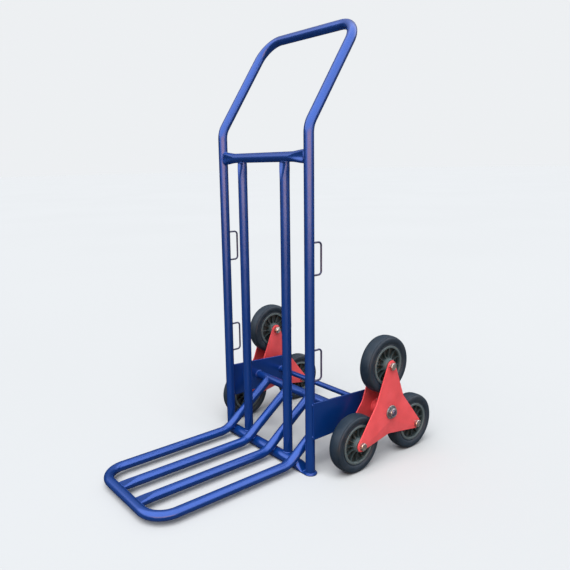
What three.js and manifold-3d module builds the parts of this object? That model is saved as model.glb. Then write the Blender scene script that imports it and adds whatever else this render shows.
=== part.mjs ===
// Stair climbing trolley: a bent-tube hand truck with a fixed toe platform and two free three-wheel stars.
// Millimetres, +Z up. The platform points along -Y, the wheel stars are behind the uprights at +Y,
// and "left" is -X. Places along Y are measured from the plane of the uprights; the finished group is
// then shifted so that the origin lies on the floor in the middle of the trolley's outer box.
import * as THREE from 'three';
import { mergeVertices } from 'three/addons/utils/BufferGeometryUtils.js';
import Module from 'manifold-3d';

const wasm = await Module();
wasm.setup();

// ---------- driving dimensions ----------
const GAP = 0.3; // between pieces that touch
const SIDES = { left: -1, right: 1 };

// frame tube
const TUBE_R = 12.7;
const TUBE_WALL = 1.5;
const TUBE_SIDES = 12;
const BEND_R = 60;
const BEND_STEP = Math.PI / 12;

// uprights and handle, one tube
const UPRIGHT_X = 179;
const HANDLE_BEND_Z = 893;
const HANDLE_Y = 169;
const HANDLE_Z = 1145;

// bars between the uprights
const UPPER_BAR_Z = 821;
const SADDLE_HALF_Y = 8; // pressed end of the upper bar
const SADDLE_HALF_Z = 17;
const SADDLE_START = 62; // where the press begins, from the upright's axis
const SLAT_X = 89;

// lower bar: thicker tube, pressed flat into a foot under each upright
const FOOT_BAR_R = 15;
const FOOT_R = 18;
const FOOT_HALF_Z = 2.25;
const FOOT_PRESS_START = 33; // where the press begins, from the upright's axis
const FOOT_PRESS_END = 14;

// toe platform
const PLATFORM_Z = 23.7;
const PLATFORM_FRONT_Y = -442;
const PLATFORM_BEND_Y = -45;
const PLATFORM_OUTER_X = 142;
const PLATFORM_INNER_X = 46;
const PINCH_LENGTH = 42; // flattened front end of the inner bars
const PINCH_WIDEN = 1.2;
const PINCH_THIN = 0.55;

// rear cross tube and side plates
const REAR_TUBE_Y = 121;
const REAR_TUBE_Z = 145;
const PLATE_T = 4.5;
const PLATE_FRONT_Y = -3;
const PLATE_BACK_Y = 250;
const PLATE_BOTTOM_Z = 101;
const PLATE_TOP_FRONT_Z = 202;
const PLATE_TOP_BACK_Z = 187;
const PLATE_CORNER_R = 16;

// strap loops on the back of the uprights
const LOOP_WIRE_R = 2.5;
const LOOP_Y = 40;
const LOOP_BEND_R = 9;
const LOOP_BEND_STEP = Math.PI / 6;
const LOOP_HEIGHT = 82;
const LOOP_Z = { lower: 253, upper: 530 };

// wheels and stars
const WHEEL_R = 78.2;
const TYRE_HALF_W = 19;
const RIM_R = 53;
const RIM_HALF_W = 17;
const ROUND_SIDES = 24;
const ARM_R = 128.8; // star centre to wheel centre
const STAR_INNER_X = 213;
const STAR_OUTER_X = 269.5;
const STAR_PLATE_T = 3;
const STAR_TIP_R = 15.5;
const STAR_WAIST_R = 64; // inner corner between two arms
const AXLE_Y = 212;
const AXLE_Z = ARM_R / 2 + WHEEL_R; // two wheels of each star stand on the floor
const AXLE_R = 8;
const ARMS = { top: Math.PI / 2, front: Math.PI * 7 / 6, rear: -Math.PI / 6 };

// hub and fasteners
const HUB_SLEEVE_R = 19;
const HUB_BUSH_R = 12.2;
const BUSH_SIDES = 16;
const RUNNING = 0.5; // radial room between faceted round pieces that turn on each other
const WASHER_R = 19;
const WASHER_T = 3;
const AXLE_NUT_AF = 24;
const AXLE_NUT_H = 8;
const AXLE_END = 1.5;
const BOLT_R = 6;
const BOLT_SIDES = 12;
const BOLT_AF = 19;
const BOLT_HEAD_H = 7.5;
const BOLT_NUT_H = 10;
const BOLT_END = 2;
const WHEEL_BUSH_R = 9.5;
const RIM_HUB_R = 19;
const RIM_HUB_HALF = 23;

// ---------- materials ----------
const paint = (color, roughness) => new THREE.MeshStandardMaterial({ color, roughness, metalness: 0.1 });
const BLUE = paint(0x1f3f9e, 0.35);
const LOOP_GREY = paint(0x3c4260, 0.45);
const RED = paint(0xd9484c, 0.5);
const RUBBER = paint(0x2a3036, 0.85);
const PLASTIC = paint(0x3a4245, 0.6);
const ZINC = new THREE.MeshStandardMaterial({ color: 0xb9b8a4, roughness: 0.35, metalness: 0.9 });
const STEEL = new THREE.MeshStandardMaterial({ color: 0x9a9da0, roughness: 0.4, metalness: 0.9 });
const NYLON = paint(0xd8d4c6, 0.6);

// ---------- helpers ----------
const trolley = new THREE.Group();

function addPiece(name, geometry, material, parent = trolley) {
  const mesh = new THREE.Mesh(geometry, material);
  mesh.name = name;
  parent.add(mesh);
  return mesh;
}

function toSolid(geometry) {
  const bare = geometry.clone();
  bare.deleteAttribute('normal');
  bare.deleteAttribute('uv');
  const merged = mergeVertices(bare, 1e-4);
  const vertProperties = new Float32Array(merged.attributes.position.array);
  const triVerts = new Uint32Array(merged.index.array);
  return new wasm.Manifold(new wasm.Mesh({ numProp: 3, vertProperties, triVerts }));
}

function toGeometry(solid) {
  const mesh = solid.getMesh();
  const geometry = new THREE.BufferGeometry();
  geometry.setAttribute('position', new THREE.BufferAttribute(new Float32Array(mesh.vertProperties), 3));
  geometry.setIndex(new THREE.BufferAttribute(new Uint32Array(mesh.triVerts), 1));
  return geometry;
}

function cut(geometry, ...tools) {
  let solid = toSolid(geometry);
  for (const tool of tools) solid = solid.subtract(toSolid(tool));
  return toGeometry(solid);
}

function join(a, b) {
  return toGeometry(toSolid(a).add(toSolid(b)));
}

function circlePoints(radius, sides, turn = 0) {
  return Array.from({ length: sides }, (_, i) => {
    const angle = (2 * Math.PI * (i + turn)) / sides;
    return new THREE.Vector2(radius * Math.cos(angle), radius * Math.sin(angle));
  });
}

// The same with its flats, not its corners, at the radius: used for all that is round about the X axis.
function flatsPoints(radius, sides) {
  return circlePoints(radius / Math.cos(Math.PI / sides), sides, 0.5);
}

function roundHole(radius, sides, y = 0, z = 0) {
  const centre = new THREE.Vector2(y, z);
  return new THREE.Path(flatsPoints(radius, sides).map((p) => p.add(centre)));
}

// A route of straight stretches and round bends, each corner given as [x, y, z, bend radius].
class BentPath extends THREE.Curve {
  constructor(corners, bendStep) {
    super();
    this.points = [];
    this.tangents = [];
    const at = corners.map(([x, y, z]) => new THREE.Vector3(x, y, z));
    corners.forEach((corner, i) => {
      const before = i > 0 ? at[i].clone().sub(at[i - 1]).normalize() : null;
      const after = i < at.length - 1 ? at[i + 1].clone().sub(at[i]).normalize() : null;
      if (before && after && corner[3]) this.addBend(at[i], before, after, corner[3], bendStep);
      else this.addStation(at[i], after ?? before);
    });
    this.steps = this.points.length - 1;
  }

  addStation(point, tangent) {
    this.points.push(point.clone());
    this.tangents.push(tangent.clone());
  }

  addBend(corner, before, after, radius, bendStep) {
    const angle = before.angleTo(after);
    const axis = before.clone().cross(after).normalize();
    const start = corner.clone().addScaledVector(before, -radius * Math.tan(angle / 2));
    const inward = axis.clone().cross(before).normalize();
    const centre = start.clone().addScaledVector(inward, radius);
    const steps = Math.ceil(angle / bendStep - 1e-6);
    for (let k = 0; k <= steps; k++) {
      const turn = (angle * k) / steps;
      const point = start.clone().sub(centre).applyAxisAngle(axis, turn).add(centre);
      this.addStation(point, before.clone().applyAxisAngle(axis, turn));
    }
  }

  getPointAt(u, target = new THREE.Vector3()) {
    return target.copy(this.points[Math.round(u * this.steps)]);
  }

  getTangentAt(u, target = new THREE.Vector3()) {
    return target.copy(this.tangents[Math.round(u * this.steps)]);
  }
}

function bentRod(corners, radius, { wall = 0, sides = TUBE_SIDES, bendStep = BEND_STEP, turn = 0 } = {}) {
  const path = new BentPath(corners, bendStep);
  const section = new THREE.Shape(circlePoints(radius, sides, turn));
  if (wall) section.holes.push(new THREE.Path(circlePoints(radius - wall, sides, turn)));
  return new THREE.ExtrudeGeometry(section, { steps: path.steps, extrudePath: path, bevelEnabled: false });
}

const frameTube = (corners) => bentRod(corners, TUBE_R, { wall: TUBE_WALL });

// Moves every vertex with a function that changes it in place.
function reshape(geometry, move) {
  const position = geometry.attributes.position;
  const vertex = new THREE.Vector3();
  for (let i = 0; i < position.count; i++) {
    move(vertex.fromBufferAttribute(position, i));
    position.setXYZ(i, vertex.x, vertex.y, vertex.z);
  }
  return geometry;
}

// Turns a shape drawn in (y, z) and extruded into a plate whose thickness runs along X from x0.
function plateAlongX(shape, x0, thickness, curveSegments = 5) {
  const geometry = new THREE.ExtrudeGeometry(shape, { depth: thickness, bevelEnabled: false, curveSegments });
  const axes = [new THREE.Vector3(0, 1, 0), new THREE.Vector3(0, 0, 1), new THREE.Vector3(1, 0, 0)];
  geometry.applyMatrix4(new THREE.Matrix4().makeBasis(...axes));
  return geometry.translate(x0, 0, 0);
}

// A solid of revolution about the X axis, from profile points [radius, x].
function turned(profile, sides) {
  const flatShare = Math.cos(Math.PI / sides); // the flats, not the corners, lie at the stated radius
  const points = [...profile, profile[0]].map(([r, x]) => new THREE.Vector2(r / flatShare, x));
  return new THREE.LatheGeometry(points, sides, Math.PI / sides).rotateZ(-Math.PI / 2);
}

function ring(inner, outer, x0, x1, sides = BUSH_SIDES) {
  return turned([[inner, x0], [outer, x0], [outer, x1], [inner, x1]], sides);
}

function rodAlongX(radius, x0, x1, sides) {
  return plateAlongX(new THREE.Shape(flatsPoints(radius, sides)), x0, x1 - x0);
}

function hexagon(acrossFlats) {
  return new THREE.Shape(circlePoints(acrossFlats / Math.sqrt(3), 6));
}

function cylinderCutter(radius, from, to) {
  return bentRod([from, to], radius, { sides: 2 * TUBE_SIDES });
}

const ease = (t) => THREE.MathUtils.smoothstep(t, 0, 1);

// ---------- frame tubes ----------
const HANDLE_CORNERS = [
  [-UPRIGHT_X, 0, 2 * FOOT_HALF_Z + GAP],
  [-UPRIGHT_X, 0, HANDLE_BEND_Z, BEND_R],
  [-UPRIGHT_X, HANDLE_Y, HANDLE_Z, BEND_R],
  [UPRIGHT_X, HANDLE_Y, HANDLE_Z, BEND_R],
  [UPRIGHT_X, 0, HANDLE_BEND_Z, BEND_R],
  [UPRIGHT_X, 0, 2 * FOOT_HALF_Z + GAP],
];

function mainFrameTube() {
  return frameTube(HANDLE_CORNERS);
}

function uprightCutter(side) {
  const x = side * UPRIGHT_X;
  return cylinderCutter(TUBE_R + GAP, [x, 0, 0], [x, 0, HANDLE_BEND_Z]);
}

// Round in the middle; each end is pressed taller and narrower and sits on the upright as a saddle.
function upperCrossbar() {
  const stops = [-1, -0.75, -0.4, 0].map((t) => t * SADDLE_START);
  const left = stops.map((t) => -UPRIGHT_X - t).reverse();
  const xs = [...left, ...left.map((x) => -x).reverse()];
  const bar = frameTube(xs.map((x) => [x, 0, UPPER_BAR_Z]));
  reshape(bar, (v) => {
    const fromUpright = UPRIGHT_X - Math.abs(v.x);
    const press = ease(1 - (fromUpright - TUBE_R) / (SADDLE_START - TUBE_R));
    v.y *= THREE.MathUtils.lerp(1, SADDLE_HALF_Y / TUBE_R, press);
    v.z = UPPER_BAR_Z + (v.z - UPPER_BAR_Z) * THREE.MathUtils.lerp(1, SADDLE_HALF_Z / TUBE_R, press);
  });
  return cut(bar, uprightCutter(SIDES.left), uprightCutter(SIDES.right));
}

// The platform tubes climb at this slope from the toe platform to the rear cross tube.
const CLIMB = Math.atan2(REAR_TUBE_Z - PLATFORM_Z, REAR_TUBE_Y - PLATFORM_BEND_Y);
const FOOT_BAR_Z = FOOT_BAR_R;
// The lower bar lies on the floor and just touches the climbing tubes from below.
const FOOT_BAR_Y = PLATFORM_BEND_Y
  + (TUBE_R + FOOT_BAR_R + GAP + (FOOT_BAR_Z - PLATFORM_Z) * Math.cos(CLIMB)) / Math.sin(CLIMB);

// Section of the pressed tube: a circle that turns into a flat bar with round edges.
function pressSection(v, centreY, halfY, halfZ, press) {
  const angle = Math.atan2(v.z - FOOT_BAR_Z, v.y);
  const share = Math.hypot(v.y, v.z - FOOT_BAR_Z) / FOOT_BAR_R; // 1 on the outside of the wall, less inside
  const edge = Math.min(halfY, halfZ);
  const toFlat = THREE.MathUtils.lerp(1, 1 / Math.cos(Math.PI / TUBE_SIDES), press); // sole down to the floor
  v.y = centreY + share * ((halfY - edge) * Math.sign(Math.cos(angle)) + edge * Math.cos(angle));
  v.z = halfZ + share * halfZ * Math.sin(angle) * toFlat;
}

function lowerCrossbar() {
  const round = [0, 1, 2, 3].map((k) => Math.sin((k * Math.PI) / 8));
  const ends = [
    UPRIGHT_X - FOOT_PRESS_START,
    UPRIGHT_X - (FOOT_PRESS_START + FOOT_PRESS_END) / 2,
    UPRIGHT_X - FOOT_PRESS_END,
    ...round.map((s) => UPRIGHT_X + s * FOOT_R),
  ];
  const xs = [...ends.map((x) => -x).reverse(), ...ends];
  const corners = xs.map((x) => [x, 0, FOOT_BAR_Z]);
  const bar = bentRod(corners, FOOT_BAR_R, { wall: TUBE_WALL, turn: 0.5 }); // a flat face points down
  return reshape(bar, (v) => {
    const fromUpright = UPRIGHT_X - Math.abs(v.x);
    const press = ease((FOOT_PRESS_START - fromUpright) / (FOOT_PRESS_START - FOOT_PRESS_END));
    const beyond = Math.max(0, -fromUpright) / FOOT_R;
    const flatHalfY = FOOT_R * Math.sqrt(1 - beyond * beyond);
    const halfY = THREE.MathUtils.lerp(FOOT_BAR_R, flatHalfY, press);
    const halfZ = THREE.MathUtils.lerp(FOOT_BAR_R, FOOT_HALF_Z, press);
    pressSection(v, FOOT_BAR_Y * (1 - press), halfY, halfZ, press);
  });
}

// The room taken by a crosswise tube, with a gap round it.
function crossCutter(radius, y, z) {
  return cylinderCutter(radius + GAP, [-UPRIGHT_X, y, z], [UPRIGHT_X, y, z]);
}

function backSlat(side) {
  const x = side * SLAT_X;
  const slat = frameTube([[x, 0, FOOT_BAR_Z], [x, 0, UPPER_BAR_Z]]);
  return cut(slat, crossCutter(FOOT_BAR_R, FOOT_BAR_Y, FOOT_BAR_Z), crossCutter(TUBE_R, 0, UPPER_BAR_Z));
}

const rearTubeCutter = () => crossCutter(TUBE_R, REAR_TUBE_Y, REAR_TUBE_Z);

// The outer tube of the platform: both legs bend up and end on the rear cross tube.
function platformLoopTube() {
  const leg = (x) => [[x, REAR_TUBE_Y, REAR_TUBE_Z], [x, PLATFORM_BEND_Y, PLATFORM_Z, BEND_R]];
  const front = (x) => [x, PLATFORM_FRONT_Y, PLATFORM_Z, BEND_R];
  const x = PLATFORM_OUTER_X;
  const loop = frameTube([...leg(-x), front(-x), front(x), ...leg(x).reverse()]);
  return cut(loop, rearTubeCutter());
}

// An inner bar of the platform, its front end flattened against the loop tube.
function platformBar(side) {
  const x = side * PLATFORM_INNER_X;
  const pinchAt = [1, 0.5, 0].map((t) => PLATFORM_FRONT_Y + TUBE_R + t * PINCH_LENGTH);
  const bar = frameTube([
    [x, REAR_TUBE_Y, REAR_TUBE_Z],
    [x, PLATFORM_BEND_Y, PLATFORM_Z, BEND_R],
    ...pinchAt.map((y) => [x, y, PLATFORM_Z]),
    [x, PLATFORM_FRONT_Y, PLATFORM_Z],
  ]);
  reshape(bar, (v) => {
    const pinch = ease(1 - (v.y - PLATFORM_FRONT_Y - TUBE_R) / PINCH_LENGTH);
    if (pinch === 0) return;
    v.x = x + (v.x - x) * THREE.MathUtils.lerp(1, PINCH_WIDEN, pinch);
    v.z = PLATFORM_Z + (v.z - PLATFORM_Z) * THREE.MathUtils.lerp(1, PINCH_THIN, pinch);
  });
  return cut(bar, rearTubeCutter(), crossCutter(TUBE_R, PLATFORM_FRONT_Y, PLATFORM_Z));
}

// ---------- side plates, rear tube and axle ----------
const PLATE_X = UPRIGHT_X + TUBE_R + GAP; // inner face, tangent to the outside of the upright

function rearCrossTube() {
  const end = PLATE_X - GAP;
  return frameTube([[-end, REAR_TUBE_Y, REAR_TUBE_Z], [end, REAR_TUBE_Y, REAR_TUBE_Z]]);
}

function sidePlate(side) {
  const outline = new THREE.Shape();
  const r = PLATE_CORNER_R;
  outline.moveTo(PLATE_FRONT_Y, PLATE_BOTTOM_Z);
  outline.lineTo(PLATE_BACK_Y - r, PLATE_BOTTOM_Z);
  outline.absarc(PLATE_BACK_Y - r, PLATE_BOTTOM_Z + r, r, -Math.PI / 2, 0);
  outline.lineTo(PLATE_BACK_Y, PLATE_TOP_BACK_Z - r);
  outline.absarc(PLATE_BACK_Y - r, PLATE_TOP_BACK_Z - r, r, 0, Math.PI / 2);
  outline.lineTo(PLATE_FRONT_Y, PLATE_TOP_FRONT_Z);
  outline.holes.push(roundHole(AXLE_R + GAP, BUSH_SIDES, AXLE_Y, AXLE_Z));
  const x0 = side > 0 ? PLATE_X : -PLATE_X - PLATE_T;
  return plateAlongX(outline, x0, PLATE_T);
}

const WASHER_X = STAR_OUTER_X + GAP;
const AXLE_NUT_X = WASHER_X + WASHER_T + GAP;
const AXLE_TIP_X = AXLE_NUT_X + AXLE_NUT_H + AXLE_END;

function strapLoop(side, z) {
  const x = side * UPRIGHT_X;
  const root = TUBE_R + GAP;
  const top = z + LOOP_HEIGHT;
  const corners = [[x, root, z], [x, LOOP_Y, z, LOOP_BEND_R], [x, LOOP_Y, top, LOOP_BEND_R], [x, root, top]];
  return bentRod(corners, LOOP_WIRE_R, { sides: 8, bendStep: LOOP_BEND_STEP });
}

// ---------- fasteners ----------
function hexNut(acrossFlats, bore, sides, x0, height) {
  const shape = hexagon(acrossFlats);
  shape.holes.push(roundHole(bore, sides));
  return plateAlongX(shape, x0, height);
}

// The bolt's head is outside the outer star plate and its nut outside the inner one.
const BOLT_HEAD_X = STAR_OUTER_X + GAP;
const BOLT_NUT_X = STAR_INNER_X - GAP - BOLT_NUT_H;

function wheelBolt() {
  const shank = rodAlongX(BOLT_R, BOLT_NUT_X - BOLT_END, BOLT_HEAD_X + 1, BOLT_SIDES);
  return join(plateAlongX(hexagon(BOLT_AF), BOLT_HEAD_X, BOLT_HEAD_H), shank);
}

// ---------- star plates ----------
function starOutline() {
  const outline = new THREE.Shape();
  const reach = new THREE.Vector2(ARM_R - STAR_WAIST_R / 2, (STAR_WAIST_R * Math.sqrt(3)) / 2);
  const half = Math.PI - Math.atan2(reach.y, reach.x) - Math.acos(STAR_TIP_R / reach.length());
  Object.values(ARMS).sort((a, b) => a - b).forEach((arm) => {
    outline.absarc(ARM_R * Math.cos(arm), ARM_R * Math.sin(arm), STAR_TIP_R, arm - half, arm + half);
    const waist = arm + Math.PI / 3;
    outline.lineTo(STAR_WAIST_R * Math.cos(waist), STAR_WAIST_R * Math.sin(waist));
    outline.holes.push(roundHole(BOLT_R + GAP, BOLT_SIDES, ARM_R * Math.cos(arm), ARM_R * Math.sin(arm)));
  });
  outline.holes.push(roundHole(HUB_BUSH_R + GAP, BUSH_SIDES));
  return outline;
}

// ---------- wheel ----------
const WHEEL_X = (STAR_INNER_X + STAR_OUTER_X) / 2;

function tyre() {
  const bore = RIM_R + GAP;
  const half = [[bore, RIM_HALF_W], [66, TYRE_HALF_W], [74, 16], [WHEEL_R, 8]];
  const profile = [...half.map(([r, x]) => [r, -x]), ...half.slice().reverse()];
  return turned(profile, ROUND_SIDES).translate(WHEEL_X, 0, 0);
}

function rim() {
  const bore = WHEEL_BUSH_R + RUNNING;
  const half = [[bore, RIM_HUB_HALF], [RIM_HUB_R, RIM_HUB_HALF], [24, 5], [47, 5], [RIM_R, RIM_HALF_W]];
  const profile = [...half.map(([r, x]) => [r, -x]), ...half.slice().reverse()];
  return turned(profile, ROUND_SIDES).translate(WHEEL_X, 0, 0);
}

// ---------- assembly ----------
function addFrame() {
  addPiece('main_frame_tube', mainFrameTube(), BLUE);
  addPiece('upper_crossbar', upperCrossbar(), BLUE);
  addPiece('lower_crossbar', lowerCrossbar(), BLUE);
  addPiece('platform_loop_tube', platformLoopTube(), BLUE);
  addPiece('rear_cross_tube', rearCrossTube(), BLUE);
  for (const [name, side] of Object.entries(SIDES)) {
    addPiece(`back_slat_${name}`, backSlat(side), BLUE);
    addPiece(`platform_bar_${name}`, platformBar(side), BLUE);
    addPiece(`side_plate_${name}`, sidePlate(side), BLUE);
    for (const [level, z] of Object.entries(LOOP_Z)) {
      addPiece(`strap_loop_${level}_${name}`, strapLoop(side, z), LOOP_GREY);
    }
  }
}

function addAxle() {
  const axle = addPiece('axle', rodAlongX(AXLE_R, -AXLE_TIP_X, AXLE_TIP_X, BUSH_SIDES), BLUE);
  axle.position.set(0, AXLE_Y, AXLE_Z);
}

// Everything below is drawn for +X about the axle line and turned half round Z for the other side.
function sideGroup(side) {
  const group = new THREE.Group();
  group.position.set(0, AXLE_Y, AXLE_Z);
  group.rotation.z = side > 0 ? 0 : Math.PI;
  trolley.add(group);
  return group;
}

function addAxleHardware(name, group) {
  const plateFace = PLATE_X + PLATE_T;
  const bore = AXLE_R + GAP;
  addPiece(`axle_spacer_${name}`, ring(bore, HUB_BUSH_R, plateFace + GAP, STAR_INNER_X - GAP), STEEL, group);
  addPiece(`axle_washer_${name}`, ring(bore, WASHER_R, WASHER_X, WASHER_X + WASHER_T), ZINC, group);
  const nut = hexNut(AXLE_NUT_AF, bore, BUSH_SIDES, AXLE_NUT_X, AXLE_NUT_H);
  addPiece(`axle_nut_${name}`, nut, ZINC, group);
}

function addStar(name, group) {
  const inside = STAR_INNER_X + STAR_PLATE_T + GAP;
  const outside = STAR_OUTER_X - STAR_PLATE_T - GAP;
  const plate = (x) => plateAlongX(starOutline(), x, STAR_PLATE_T);
  addPiece(`star_plate_inner_${name}`, plate(STAR_INNER_X), RED, group);
  addPiece(`star_plate_outer_${name}`, plate(STAR_OUTER_X - STAR_PLATE_T), RED, group);
  addPiece(`hub_sleeve_${name}`, ring(HUB_BUSH_R + GAP, HUB_SLEEVE_R, inside, outside), RED, group);
  addPiece(`hub_bush_${name}`, ring(AXLE_R + RUNNING, HUB_BUSH_R, STAR_INNER_X, STAR_OUTER_X), NYLON, group);
}

// The mirrored side swaps front and rear, because its group is turned half round.
function armOf(place, side) {
  const arm = ARMS[place];
  return side > 0 ? arm : Math.PI - arm;
}

function addWheel(name, place, side, group) {
  const arm = armOf(place, side);
  const tag = `${name}_${place}`;
  const inside = STAR_INNER_X + STAR_PLATE_T + GAP;
  const outside = STAR_OUTER_X - STAR_PLATE_T - GAP;
  const bore = BOLT_R + GAP;
  const pieces = [
    [`tyre_${tag}`, tyre(), RUBBER],
    [`rim_${tag}`, rim(), PLASTIC],
    [`wheel_bush_${tag}`, ring(bore, WHEEL_BUSH_R, inside, outside), STEEL],
    [`wheel_bolt_${tag}`, wheelBolt(), ZINC],
    [`wheel_nut_${tag}`, hexNut(BOLT_AF, bore, BOLT_SIDES, BOLT_NUT_X, BOLT_NUT_H), ZINC],
  ];
  for (const [pieceName, geometry, material] of pieces) {
    const mesh = addPiece(pieceName, geometry, material, group);
    mesh.position.set(0, ARM_R * Math.cos(arm), ARM_R * Math.sin(arm));
  }
}

addFrame();
addAxle();
for (const [name, side] of Object.entries(SIDES)) {
  const group = sideGroup(side);
  addAxleHardware(name, group);
  addStar(name, group);
  for (const place of Object.keys(ARMS)) addWheel(name, place, side, group);
}

// Origin on the floor in the middle of the box: from the platform's front to the rear wheels' back.
const FRONT_Y = PLATFORM_FRONT_Y - TUBE_R;
const REAR_Y = AXLE_Y + ARM_R * Math.cos(ARMS.rear) + WHEEL_R;
trolley.position.y = -(FRONT_Y + REAR_Y) / 2;

export default trolley;
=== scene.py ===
"""Stair climbing trolley: its looks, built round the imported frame. Metres, +Z up, left is -X."""
import math

import bmesh
import bpy
from mathutils import Matrix, Vector


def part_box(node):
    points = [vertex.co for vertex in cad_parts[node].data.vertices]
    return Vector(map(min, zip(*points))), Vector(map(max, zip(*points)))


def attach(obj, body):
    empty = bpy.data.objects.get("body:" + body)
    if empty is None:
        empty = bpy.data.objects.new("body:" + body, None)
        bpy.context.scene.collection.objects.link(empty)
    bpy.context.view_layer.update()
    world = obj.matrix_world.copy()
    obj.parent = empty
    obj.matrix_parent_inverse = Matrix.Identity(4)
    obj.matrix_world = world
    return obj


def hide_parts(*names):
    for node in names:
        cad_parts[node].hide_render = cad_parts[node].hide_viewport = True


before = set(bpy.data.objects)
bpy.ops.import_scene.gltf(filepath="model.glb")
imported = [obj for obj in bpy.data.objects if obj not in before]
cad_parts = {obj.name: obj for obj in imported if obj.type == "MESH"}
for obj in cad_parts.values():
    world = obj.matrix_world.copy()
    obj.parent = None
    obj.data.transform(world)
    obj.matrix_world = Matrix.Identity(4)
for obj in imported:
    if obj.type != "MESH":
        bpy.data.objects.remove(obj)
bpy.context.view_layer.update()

# ---------- driving dimensions, metres ----------
SIDES = {"left": -1, "right": 1}
PLACES = ("top", "front", "rear")

TUBE_R = 0.0127
BEND_R = 0.060
ROUND = 48  # points round a tube
FINE = 0.002  # step along a pressed stretch

HANDLE_BEND_Z = 0.893
UPPER_BAR_Z = 0.821
CLIMB_BEND_AHEAD = 0.045  # how far before the uprights the platform's legs turn up

SADDLE_LENGTH = 0.052  # pressed end of the upper crossbar
SADDLE_HALF_Y = 0.0088
SADDLE_HALF_Z = 0.017
SADDLE_DENT = 0.0018
SADDLE_END = TUBE_R * 0.55  # from the upright's axis
SLAT_PRESS_LENGTH = 0.048
SLAT_HALF_WIDE = 0.0146
SLAT_HALF_THICK = 0.0060
SLAT_DENT = 0.0022
BAR_PRESS_LENGTH = 0.044
BAR_HALF_WIDE = 0.0152
BAR_HALF_THICK = 0.0062
PRESSED_END = TUBE_R * 0.6  # of slats and bars, from the axis of the tube they meet

FOOT_BAR_R = 0.015
FOOT_BAR_AHEAD = 0.0094  # its axis lies this far before the uprights'
FOOT_R = 0.018
FOOT_HALF_Z = 0.00225
FOOT_PRESS_START = 0.036
FOOT_PRESS_END = 0.013

PLATE_CORNER_R = 0.016
PLATE_EDGE = 0.0007
PLATE_DROP = 0.015  # how much lower the top edge is at the back
LOOP_WIRE_R = 0.0025
LOOP_BEND_R = 0.009

WELD_R = 0.0024
THIN_WELD_R = 0.0022
WELD_PITCH = 0.0032
WELD_RIPPLE = 0.14  # share of the radius
WELD_SIDES = 10

STAR_T = 0.003
STAR_TIP_R = 0.0155
STAR_WAIST_R = 0.064
STAR_CREASE_R = 0.025  # where two creases meet, measured from the hub
STAR_SLOPES = (0.08, 0.06, 0.13)  # behind, in front, below
STAR_BEND = 0.0012
STAR_EDGE = 0.0006
STAR_RINGS = 30  # from the hub's hole to the edge
HUB_SLEEVE_R = 0.019
HUB_BUSH_R = 0.0122
BOLT_R = 0.006
BOLT_FLATS = 0.019
AXLE_R = 0.008
AXLE_NUT_FLATS = 0.024
THREAD_PITCH = 0.00175
CLEARANCE = 0.0003  # between pieces that fit into each other

RIM_R = 0.053
RIM_HALF = 0.017
TYRE_GAP = 0.0003
RIBS = 12
WHEEL_SIDES = 120


def middle(node):
    low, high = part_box(node)
    return (low + high) / 2


# ---------- places read from the frame ----------
TUBE_LOW, TUBE_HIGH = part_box("main_frame_tube")
UPRIGHT_X = TUBE_HIGH.x - TUBE_R
UPRIGHT_Y = TUBE_LOW.y + TUBE_R
HANDLE_Y = TUBE_HIGH.y - TUBE_R
HANDLE_Z = TUBE_HIGH.z - TUBE_R
FOOT_BAR_Y = UPRIGHT_Y - FOOT_BAR_AHEAD
PLATFORM_LOW, PLATFORM_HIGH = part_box("platform_loop_tube")
PLATFORM_X = PLATFORM_HIGH.x - TUBE_R
PLATFORM_FRONT_Y = PLATFORM_LOW.y + TUBE_R
PLATFORM_Z = PLATFORM_LOW.z + TUBE_R
CLIMB_Y = UPRIGHT_Y - CLIMB_BEND_AHEAD
REAR_TUBE = middle("rear_cross_tube")
AXLE = middle("axle")
AXLE_TIP_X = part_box("axle")[1].x
WHEEL_X = middle("tyre_right_top").x
WHEEL_R = middle("tyre_right_front").z
ARM_R = middle("tyre_right_top").z - AXLE.z
INNER_PLATE_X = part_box("star_plate_inner_right")[0].x
OUTER_PLATE_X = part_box("star_plate_outer_right")[1].x


# ---------- meshes ----------
class Skin:
    """The vertices and faces of one mesh, gathered part by part."""

    def __init__(self):
        self.points = []
        self.faces = []

    def rings(self, rings, closed=False):
        """Skins equal rings of points. Open runs are capped, closed ones join their two ends."""
        first = len(self.points)
        count = len(rings[0])
        for ring in rings:
            self.points.extend(Vector(p) for p in ring)
        spans = len(rings) if closed else len(rings) - 1
        for i in range(spans):
            a = first + i * count
            b = first + (i + 1) % len(rings) * count
            for k in range(count):
                n = (k + 1) % count
                self.faces.append((a + k, a + n, b + n, b + k))
        if not closed:
            for start in (first, first + (len(rings) - 1) * count):
                self.faces.append(tuple(range(start, start + count)))
        return self

    def mesh(self, name, sharp):
        data = bpy.data.meshes.new(name)
        data.from_pydata(self.points, [], self.faces)
        bm = bmesh.new()
        bm.from_mesh(data)
        bmesh.ops.recalc_face_normals(bm, faces=bm.faces)
        bm.to_mesh(data)
        bm.free()
        data.shade_smooth()
        data.set_sharp_from_angle(angle=math.radians(sharp))
        return data


def add_piece(node, mesh, slot, body, place=None, stands_for=True):
    """Puts a mesh in the scene, moving with a body and, as a rule, in place of the CAD node of its name."""
    if place is not None:
        mesh.transform(place)
    piece = bpy.data.objects.new(f"visual_{node}", mesh)
    bpy.context.scene.collection.objects.link(piece)
    if not mesh.materials:
        mesh.materials.append(LOOKS[slot])
    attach(piece, body)
    if stands_for:
        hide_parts(node)


def add_frame_piece(node, skin, sharp=40):
    add_piece(node, skin.mesh(node, sharp), "frame_paint", "frame")


def circle(radius, count=ROUND):
    turns = [2 * math.pi * k / count for k in range(count)]
    return [(radius * math.cos(a), radius * math.sin(a)) for a in turns]


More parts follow.
